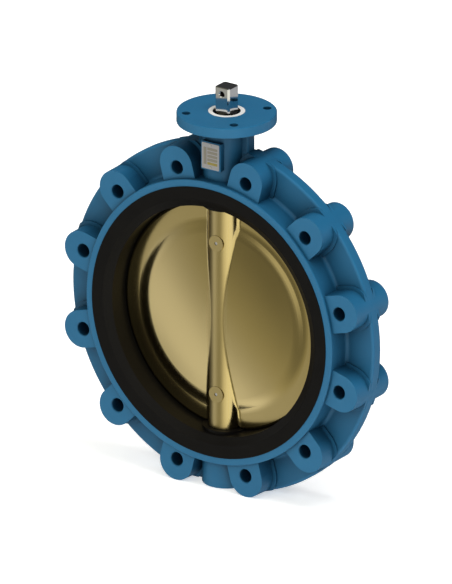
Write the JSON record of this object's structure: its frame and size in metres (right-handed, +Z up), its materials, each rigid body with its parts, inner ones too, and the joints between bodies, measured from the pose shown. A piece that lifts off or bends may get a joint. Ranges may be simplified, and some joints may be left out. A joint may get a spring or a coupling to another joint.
{
  "type": "butterfly valve",
  "caption": "Lug-type concentric butterfly valve with blue coated body, black rubber liner, bronze disc and bare square stem above an actuator flange.",
  "frame": {"origin": "middle of the pipe bore, where the pipe axis crosses the stem axis", "axes": "+Z up the stem, Y along the pipe with the front face looking along -Y, X across the pipe"},
  "size_m": [0.4556, 0.125, 0.5232],
  "materials": {
    "blue_coated_iron": "satin blue epoxy coating on ductile cast iron",
    "seat_rubber": "moulded black rubber, satin",
    "bronze": "polished aluminium bronze",
    "stainless_steel": "ground and polished stainless steel",
    "pin_steel": "turned stainless steel",
    "seal_rubber": "black O-ring rubber",
    "bearing_bronze": "dry bearing bronze",
    "spring_steel": "oiled spring steel",
    "collar_steel": "bright turned steel",
    "plug_steel": "turned steel",
    "plate_aluminium": "satin aluminium plate",
    "rivet_steel": "plain steel"
  },
  "bodies": {
    "body_assembly": {"body": "blue_coated_iron", "seat_liner": "seat_rubber", "upper_bush": "bearing_bronze", "middle_bush": "bearing_bronze", "lower_bush": "bearing_bronze", "upper_stem_seal": "seal_rubber", "lower_stem_seal": "seal_rubber", "thrust_washer": "bearing_bronze", "stem_collar": "collar_steel", "thrust_pad": "bearing_bronze", "bottom_plug": "plug_steel", "bottom_plug_seal": "seal_rubber", "bottom_retainer": "spring_steel", "name_plate": "plate_aluminium", "name_plate_rivets": "rivet_steel"},
    "disc_and_stem": {"disc": "bronze", "stem": "stainless_steel", "upper_disc_pin": "pin_steel", "lower_disc_pin": "pin_steel", "upper_pin_seal": "seal_rubber", "lower_pin_seal": "seal_rubber", "upper_pin_screw": "pin_steel", "lower_pin_screw": "pin_steel", "stem_retainer": "spring_steel"}
  },
  "joints": [
    {"name": "stem_turn", "type": "hinge", "parent": "body_assembly", "child": "disc_and_stem", "pos_m": [0, 0, 0], "axis": [0, 0, 1], "range_deg": [0, 90]}
  ]
}
